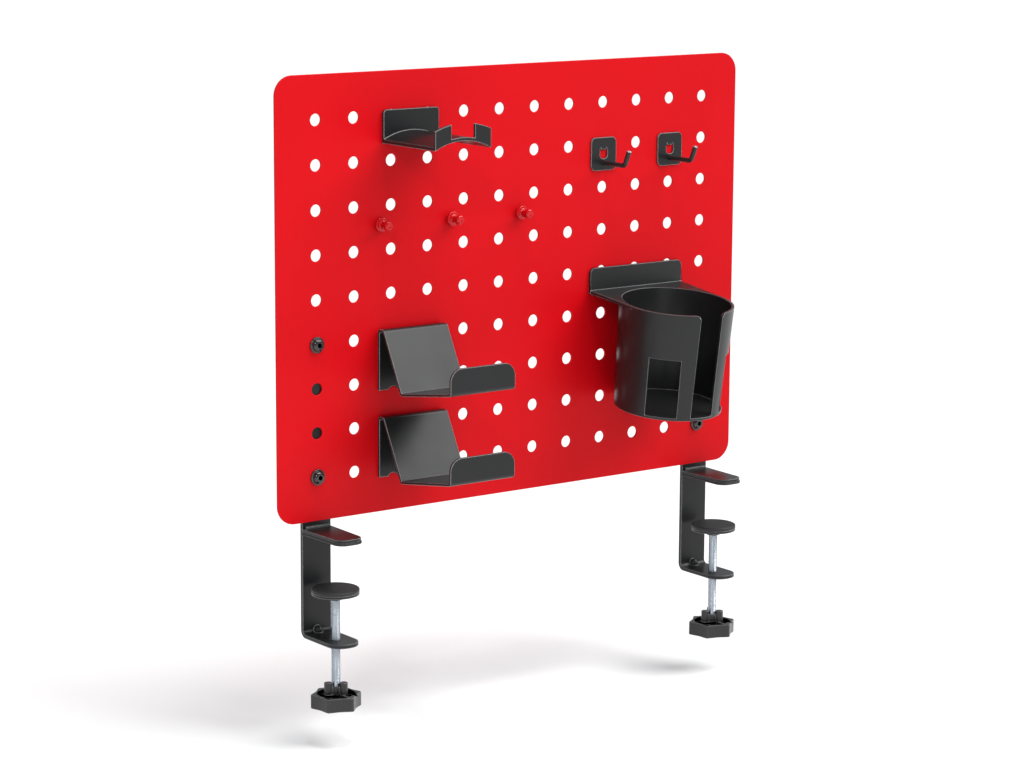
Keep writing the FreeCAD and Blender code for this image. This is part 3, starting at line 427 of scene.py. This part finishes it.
FINISHES["zinc"] = plated("zinc", (0.66, 0.71, 0.76), (0.16, 0.34), 900.0, 0.008, (1, 1, 6))
FINISHES["nickel"] = plated("nickel", (0.72, 0.70, 0.66), (0.08, 0.2), 1200.0, 0.004, (1, 1, 1))
print("plated finishes:", ["zinc", "nickel"])

# %% [markdown]
# ## The floor's finish, and first materials for every node
# The white sweep drifts a little in tone, as painted card does. Then every node of the
# frame gets its finish, which the copies that replace the nodes will share.

# %% Floor material and first materials
FLOOR_CLOUDS, FLOOR_ROUGHNESS = 1.5, 0.8
floor_material, floor_tree, floor_shader = new_material("white_sweep")
floor_tone = mixed(
    floor_tree, placed(floor_tree, CLOUDS, Scale=FLOOR_CLOUDS).outputs["Drift"],
    (0.93, 0.93, 0.93, 1), (0.95, 0.95, 0.95, 1)
)
floor_tree.links.new(floor_tone, floor_shader.inputs["Base Color"])
floor_shader.inputs["Roughness"].default_value = FLOOR_ROUGHNESS
floor.data.materials.append(floor_material)

for node_name, cad_node in frame["nodes"].items():
    cad_node.data.materials.clear()
    cad_node.data.materials.append(FINISHES[slot_of_node[node_name]])
print("finishes:", sorted(FINISHES))

# %% [markdown]
# ## Putting a piece in place
# A finished piece needs the material of its node's slot and the body that it moves with, and
# the node that it replaces is hidden. All of that follows from the node, so one function does it.

# %% Helper for a finished piece


def settle(piece, node_name, replaces=True, finish=None):
    """Gives a piece the body of a node of the frame, and that node's finish or another."""
    finish = finish or slot_of_node[node_name]
    piece.data.materials.clear()
    piece.data.materials.append(FINISHES[finish])
    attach(piece, body_of_node[node_name])
    if replaces:
        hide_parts(node_name)
    return piece


def smooth(piece):
    piece.data.polygons.foreach_set("use_smooth", [True] * len(piece.data.polygons))
    return piece


# %% [markdown]
# ## Sheet and moulded pieces with real edges
# An exact model has edges of no width, and no real edge is like that: a coating rounds it,
# and the small radius catches a line of light. The model's own mesh stays as it is, so a
# copy is cleaned up instead: doubles merged, flat areas joined to single faces, and a Bevel
# modifier rounds what is sharp. Weighted normals keep the flats flat up to that radius. The
# cup keeps its triangles, because with its flats joined into single faces its mouth didn't
# stay open.

# %% Round the edges of copies
FLAT, SHARP, SEGMENTS = math.radians(0.4), math.radians(30), 2
MERGE = 0.002 * MM
KEEP_TRIANGLES = ("cup_holder",)


def keep_flats_flat(piece):
    piece.modifiers.new("flats", "WEIGHTED_NORMAL").keep_sharp = True


def softened(node_name, radius):
    """A copy of a node's shape with its sharp edges rounded; the radius is in mm."""
    work = bmesh.new()
    work.from_mesh(frame["nodes"][node_name].data)
    bmesh.ops.remove_doubles(work, verts=work.verts, dist=MERGE)
    if node_name not in KEEP_TRIANGLES:
        bmesh.ops.dissolve_limit(work, angle_limit=FLAT, verts=work.verts, edges=work.edges)
    piece = smooth(mesh_object(f"{node_name}_finished", work))
    rounding = piece.modifiers.new("rounding", "BEVEL")
    rounding.width = radius * MM
    rounding.segments = SEGMENTS
    rounding.limit_method = "ANGLE"
    rounding.angle_limit = SHARP
    rounding.use_clamp_overlap = False
    keep_flats_flat(piece)
    return settle(piece, node_name)


EDGE_RADII = {
    "pegboard_panel": 0.35, "headset_holder": 0.5, "upper_controller_holder": 0.45,
    "lower_controller_holder": 0.45, "cup_holder": 0.4, "left_hook_plate": 0.3,
    "right_hook_plate": 0.3, "left_hook_rod": 0.5, "right_hook_rod": 0.5,
    "panel_nuts": 0.3, "panel_washers": 0.25,
}
for side in ("left", "right"):
    EDGE_RADII.update({
        f"{side}_clamp_bracket": 0.6, f"{side}_upper_jaw": 0.5, f"{side}_jaw_pad": 0.4,
        f"{side}_pressure_cap": 0.3, f"{side}_pressure_disc": 0.35, f"{side}_clamp_knob": 0.45,
    })
for node_name, radius in EDGE_RADII.items():
    softened(node_name, radius)
print("rounded:", len(EDGE_RADII), "pieces")

# %% [markdown]
# ## The clamp screws
# A clamp screw is a rolled M8 thread: a right-hand ridge that climbs 1.25 mm a turn. A
# texture could fake it, but the outline would stay straight. Here the ridge's section, one
# pitch long, is spun round the axis while it climbs, which is just how the thread is
# defined. The two ragged ends are cut flat where the real screw was cut.

# %% Rolled threads
PITCH, CREST, ROOT = 1.25 * MM, 3.95 * MM, 3.25 * MM
STEPS_A_TURN = 24
RIDGE = ((0, 0), (0.12, 0), (0.42, 1), (0.58, 1), (0.88, 0), (1, 0))   # share of pitch, of depth


def edges_of(geometry):
    return [part for part in geometry if isinstance(part, bmesh.types.BMEdge)]


def verts_of(geometry):
    return [part for part in geometry if isinstance(part, bmesh.types.BMVert)]


def cut_flat(work, height, keep_above):
    """Cuts a closed shell level at a height and closes it with one face."""
    geometry = work.verts[:] + work.edges[:] + work.faces[:]
    cut = bmesh.ops.bisect_plane(
        work, geom=geometry, plane_co=(0, 0, height), plane_no=(0, 0, 1),
        clear_inner=keep_above, clear_outer=not keep_above
    )
    bmesh.ops.contextual_create(work, geom=edges_of(cut["geom_cut"]))


def thread_mesh(name, length, pitch, crest, root):
    """A closed length of right-hand thread that stands on the origin, along Z."""
    turns = math.ceil(length / pitch) + 2
    depth = crest - root
    work = bmesh.new()
    points = [work.verts.new((root + depth * out, 0, (along - 1) * pitch)) for along, out in RIDGE]
    lines = [work.edges.new(pair) for pair in zip(points, points[1:])]
    bmesh.ops.spin(
        work, geom=points + lines, cent=(0, 0, 0), axis=(0, 0, 1), angle=2 * math.pi * turns,
        steps=turns * STEPS_A_TURN, dvec=(0, 0, pitch / STEPS_A_TURN), use_merge=False
    )
    bmesh.ops.remove_doubles(work, verts=work.verts, dist=MERGE)
    cut_flat(work, 0, keep_above=True)
    cut_flat(work, length, keep_above=False)
    bmesh.ops.recalc_face_normals(work, faces=work.faces)
    mesh = bpy.data.meshes.new(name)
    work.to_mesh(mesh)
    work.free()
    print(name, "turns:", turns, "faces:", len(mesh.polygons))
    return mesh


# %% Clamp screws


def clamp_screw(node_name):
    low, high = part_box(node_name)
    axis = (low + high) / 2
    work = bmesh.new()
    work.from_mesh(thread_mesh(f"{node_name}_thread", high.z - low.z, PITCH, CREST, ROOT))
    bmesh.ops.translate(work, verts=work.verts, vec=(axis.x, axis.y, low.z))
    piece = smooth(mesh_object(f"{node_name}_threaded", work))
    keep_flats_flat(piece)
    return settle(piece, node_name)


for side in ("left", "right"):
    clamp_screw(f"{side}_clamp_screw")

# %% [markdown]
# ## Shapes from a lathe
# Screw heads, pins and magnets are bodies of revolution: half an outline, spun round an
# axis. On this object every such axis sticks straight out of the panel, so one function
# spins them all. Its outline is a list of two distances, out from the axis and forward.

# %% Turned shapes


def arc(centre, radius, start, end, count):
    """Points on an arc, as distance from the axis and distance along it; in degrees."""
    angles = [math.radians(start + (end - start) * step / count) for step in range(count + 1)]
    return [(centre[0] + radius * math.cos(a), centre[1] + radius * math.sin(a)) for a in angles]


def turned_shell(outline, foot, steps):
    """Spins half an outline round the line that runs towards -Y from a foot point."""
    work = bmesh.new()
    points = [work.verts.new((foot.x + out, foot.y - along, foot.z)) for out, along in outline]
    lines = [work.edges.new(pair) for pair in zip(points, points[1:])]
    bmesh.ops.spin(
        work, geom=points + lines, cent=foot, axis=(0, 1, 0), angle=2 * math.pi,
        steps=steps, use_merge=True
    )
    bmesh.ops.remove_doubles(work, verts=work.verts, dist=MERGE)
    return work


# %% [markdown]
# ## The panel's screws
# Four flanged button heads hold the panel to the clamps. A button head is a low dome with a
# six-sided key socket. The dome, the flange and the shank are one outline spun round the
# screw's axis. The socket's rim is a hexagon cut into as many points as the dome's ring, so
# the two loops can be bridged, and the hexagon is then pushed in to make the socket.

# %% Flanged button heads
HEAD_STEPS, HEX_CUTS = 36, 5
FLANGE, FLANGE_WALL, HEAD, HEAD_TOP, CROWN = 7.0 * MM, 1.3 * MM, 5.4 * MM, 4.7 * MM, 2.6 * MM
SHANK, TIP, KEY, KEY_DEPTH = 3.0 * MM, 4.0 * MM, 4.0 * MM, 2.6 * MM
NECK, FLANGE_ROUND, BOLT_PITCH = 0.3 * MM, 0.4 * MM, 1.0 * MM
BOLT_CORE, BOLT_CREST, BOLT_ROOT = 0.8, 0.99, 0.85   # shares of the shank's radius


def added(work, mesh):
    """Adds a mesh to a bmesh, and gives back its vertices there."""
    before = len(work.verts)
    work.from_mesh(mesh)
    work.verts.ensure_lookup_table()
    return work.verts[before:]


def button_head(shank_length):
    """One screw whose flange rests on the XZ plane, with its head towards -Y."""
    core, thread_start = SHANK * BOLT_CORE, TIP - shank_length
    core_end = NECK - shank_length
    outline = arc((HEAD - CROWN, HEAD_TOP - CROWN), CROWN, 90, 0, 8)
    outline += [(HEAD, FLANGE_WALL + NECK), (HEAD + NECK, FLANGE_WALL)]
    outline += arc((FLANGE - FLANGE_ROUND, FLANGE_WALL - FLANGE_ROUND), FLANGE_ROUND, 90, 0, 4)
    outline += [(FLANGE, 0), (SHANK, 0), (SHANK, thread_start), (core, thread_start)]
    outline += [(core, core_end), (0, core_end)]
    work = turned_shell(outline, Vector((0, 0, 0)), HEAD_STEPS)
    ring = [edge for edge in work.edges if edge.is_boundary]
    upright = Matrix.Translation((0, -HEAD_TOP, 0)) @ Matrix.Rotation(math.radians(90), 4, "X")
    corner = KEY / 2 / math.cos(math.radians(30))
    made = bmesh.ops.create_circle(work, segments=6, radius=corner, matrix=upright)
    sides = list({edge for vert in made["verts"] for edge in vert.link_edges})
    bmesh.ops.subdivide_edges(work, edges=sides, cuts=HEX_CUTS)
    rim = [edge for edge in work.edges if edge.is_wire]
    bmesh.ops.bridge_loops(work, edges=ring + rim)
    pushed = bmesh.ops.extrude_edge_only(work, edges=rim)["geom"]
    bmesh.ops.translate(work, verts=verts_of(pushed), vec=(0, KEY_DEPTH, 0))
    bottom = [edge for edge in edges_of(pushed) if edge.is_boundary]
    bmesh.ops.contextual_create(work, geom=bottom)
    thread = thread_mesh(
        "panel_screw_thread", TIP, BOLT_PITCH, SHANK * BOLT_CREST, SHANK * BOLT_ROOT
    )
    new = added(work, thread)
    bmesh.ops.rotate(work, verts=new, matrix=Matrix.Rotation(math.radians(-90), 3, "X"))
    bmesh.ops.translate(work, verts=new, vec=(0, -thread_start, 0))
    bmesh.ops.recalc_face_normals(work, faces=work.faces)
    mesh = bpy.data.meshes.new("button_head")
    work.to_mesh(mesh)
    work.free()
    return mesh


# %% Place the four screws


def panel_screws():
    low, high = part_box("panel_screws")
    front = low.y + HEAD_TOP
    one = button_head(high.y - front)
    work = bmesh.new()
    for x in (low.x + FLANGE, high.x - FLANGE):
        for z in (low.z + FLANGE, high.z - FLANGE):
            bmesh.ops.translate(work, verts=added(work, one), vec=(x, front, z))
    piece = smooth(mesh_object("panel_button_heads", work))
    keep_flats_flat(piece)
    return settle(piece, "panel_screws")


print("button heads, faces:", len(panel_screws().data.polygons))

# %% [markdown]
# ## The weld under the panel
# The upper jaw is welded to the flat steel. A hand weld is a row of overlapping ripples,
# and it reads as a weld only if they are a little uneven. A circle is drawn out along the
# joint in small steps, and each step swells and shrinks it.

# %% Weld beads
random.seed(7)
JAW_WALL, BEAD, END_SIZE = 3.0 * MM, 2.5 * MM, 0.6
RIPPLE, RIPPLE_LENGTH, STEPS_A_RIPPLE, RING_POINTS = 0.16, 1.9 * MM, 6, 20
LEAST_SWELL, MOST_SWELL = 0.97, 1.06


def weld_bead(side):
    low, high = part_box(f"{side}_upper_jaw")
    jaw_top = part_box(f"{side}_jaw_pad")[1].z + JAW_WALL
    start, length = low.x + BEAD, high.x - low.x - 2 * BEAD
    work = bmesh.new()
    lie = Matrix.Translation((start, 0, jaw_top)) @ Matrix.Rotation(math.radians(90), 4, "Y")
    ring = bmesh.ops.create_circle(
        work, segments=RING_POINTS, radius=BEAD * END_SIZE, matrix=lie, cap_ends=True
    )
    edges = list({edge for vert in ring["verts"] for edge in vert.link_edges})
    count = round(length / RIPPLE_LENGTH) * STEPS_A_RIPPLE
    size, swell = END_SIZE, 1.0
    for step in range(1, count + 1):
        phase = step % STEPS_A_RIPPLE / STEPS_A_RIPPLE
        if step % STEPS_A_RIPPLE == 0:
            swell = random.uniform(LEAST_SWELL, MOST_SWELL)
        wanted = swell * (1 + RIPPLE * (phase - 0.5)) if step < count else END_SIZE
        drawn = bmesh.ops.extrude_edge_only(work, edges=edges)["geom"]
        verts = verts_of(drawn)
        edges = [edge for edge in edges_of(drawn) if edge.is_boundary]
        bmesh.ops.translate(work, verts=verts, vec=(length / count, 0, 0))
        centre = Matrix.Translation((-(start + length * step / count), 0, -jaw_top))
        grow = wanted / size
        bmesh.ops.scale(work, verts=verts, vec=(1, grow, grow), space=centre)
        size = wanted
    bmesh.ops.contextual_create(work, geom=edges)
    bmesh.ops.recalc_face_normals(work, faces=work.faces)
    piece = smooth(mesh_object(f"{side}_weld_bead", work))
    return settle(piece, f"{side}_upper_jaw", replaces=False)


for side in ("left", "right"):
    print(weld_bead(side).name, "is", round(BEAD / MM, 1), "mm in radius")

# %% [markdown]
# ## Pin magnets
# A pin magnet is a plastic grip on a small plated disc, and both come from the lathe. The
# outline is drawn as the turner would read it: straight stretches, with arcs where the
# plastic is rounded, a hollow waist for the fingertips, and a dimple in the head's end.

# %% Grip and disc outlines
TURN_STEPS = 64
HEAD_SHARE, WAIST_SHARE = 0.656, 0.44   # of the base's radius
BASE_WALL, HEAD_LENGTH, WAIST_ROUND = 2.6 * MM, 5.4 * MM, 1.6 * MM
BASE_ROUND, FOOT_ROUND, BROW, NAPE = 0.9 * MM, 0.45 * MM, 1.8 * MM, 1.08 * MM
DIMPLE = ((0.45, 0.02), (0.3, 0.35), (0, 0.45))   # share of the head's radius, depth in mm
CHAMFER = 0.35 * MM


def grip_outline(base, length):
    head, waist, head_foot = base * HEAD_SHARE, base * WAIST_SHARE, length - HEAD_LENGTH
    outline = [(0, 0)]
    outline += arc((base - FOOT_ROUND, FOOT_ROUND), FOOT_ROUND, -90, 0, 4)
    outline += arc((base - BASE_ROUND, BASE_WALL - BASE_ROUND), BASE_ROUND, 0, 90, 5)
    outline += arc((waist + WAIST_ROUND, BASE_WALL + WAIST_ROUND), WAIST_ROUND, -90, -180, 5)
    outline += arc((head - NAPE, head_foot + NAPE), NAPE, -90, 0, 5)
    outline += arc((head - BROW, length - BROW), BROW, 0, 90, 6)
    return outline + [(head * share, length - depth * MM) for share, depth in DIMPLE]


def disc_outline(rim, thick):
    outline = [(0, 0), (rim - CHAMFER, 0)]
    outline += arc((rim - CHAMFER, CHAMFER), CHAMFER, -90, 0, 3)
    outline += arc((rim - CHAMFER, thick - CHAMFER), CHAMFER, 0, 90, 3)
    return outline + [(0, thick)]


# %% Pins


def turned(name, outline_of, node_name):
    """Turns a piece to the radius and the length of the node that it replaces."""
    low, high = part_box(node_name)
    foot = Vector(((low.x + high.x) / 2, high.y, (low.z + high.z) / 2))
    outline = outline_of((high.x - low.x) / 2, high.y - low.y)
    work = turned_shell(outline, foot, TURN_STEPS)
    bmesh.ops.recalc_face_normals(work, faces=work.faces)
    return settle(smooth(mesh_object(name, work)), node_name)


for order in ("first", "second", "third"):
    grip = turned(f"{order}_pin_grip", grip_outline, f"{order}_pin_handle")
    turned(f"{order}_pin_disc", disc_outline, f"{order}_pin_magnet")
    print(grip.name, "faces:", len(grip.data.polygons))

# %% [markdown]
# ## Bright tips on the hooks
# A shallow dome in the zinc finish is turned like the pins, leaned over to the rod's own
# angle, and set on the end of each rod. Its light metal stands in for the glint on the rod's
# cut end, so it is a painted highlight.

# %% Hook tips
LEAN, TIP_RADIUS, TIP_DOME, TIP_ROOT = math.radians(25), 1.75 * MM, 0.12 * MM, 0.5 * MM
TIP_STEPS = 32
TIP_CROWN = ((1, 0), (0.7, 0.6), (0.35, 0.9), (0, 1))   # shares of the radius, of the dome


def hook_tip(side):
    low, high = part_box(f"{side}_hook_rod")
    rod = (high.x - low.x) / 2
    end = Vector((
        (low.x + high.x) / 2, low.y + rod * math.cos(LEAN), high.z - rod * math.sin(LEAN)
    ))
    outline = [(0, -TIP_ROOT), (TIP_RADIUS, -TIP_ROOT)]
    outline += [(TIP_RADIUS * out, TIP_DOME * rise) for out, rise in TIP_CROWN]
    work = turned_shell(outline, Vector((0, 0, 0)), TIP_STEPS)
    bmesh.ops.rotate(work, verts=work.verts, matrix=Matrix.Rotation(LEAN - math.pi / 2, 3, "X"))
    bmesh.ops.translate(work, verts=work.verts, vec=end)
    bmesh.ops.recalc_face_normals(work, faces=work.faces)
    piece = smooth(mesh_object(f"{side}_hook_tip", work))
    return settle(piece, f"{side}_hook_rod", replaces=False, finish="zinc")


for side in ("left", "right"):
    print(hook_tip(side).name, "leans", round(math.degrees(LEAN)), "degrees from upright")

# %% [markdown]
# ## Sizes
# The box of the engineering model and the box of the finished model are printed side by side.

# %% Sizes and finish
size_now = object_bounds()
for corner, was, now in zip(("low", "high"), cad_box, size_now):
    print(corner, "model", [round(c, 4) for c in was], "finished", [round(c, 4) for c in now])
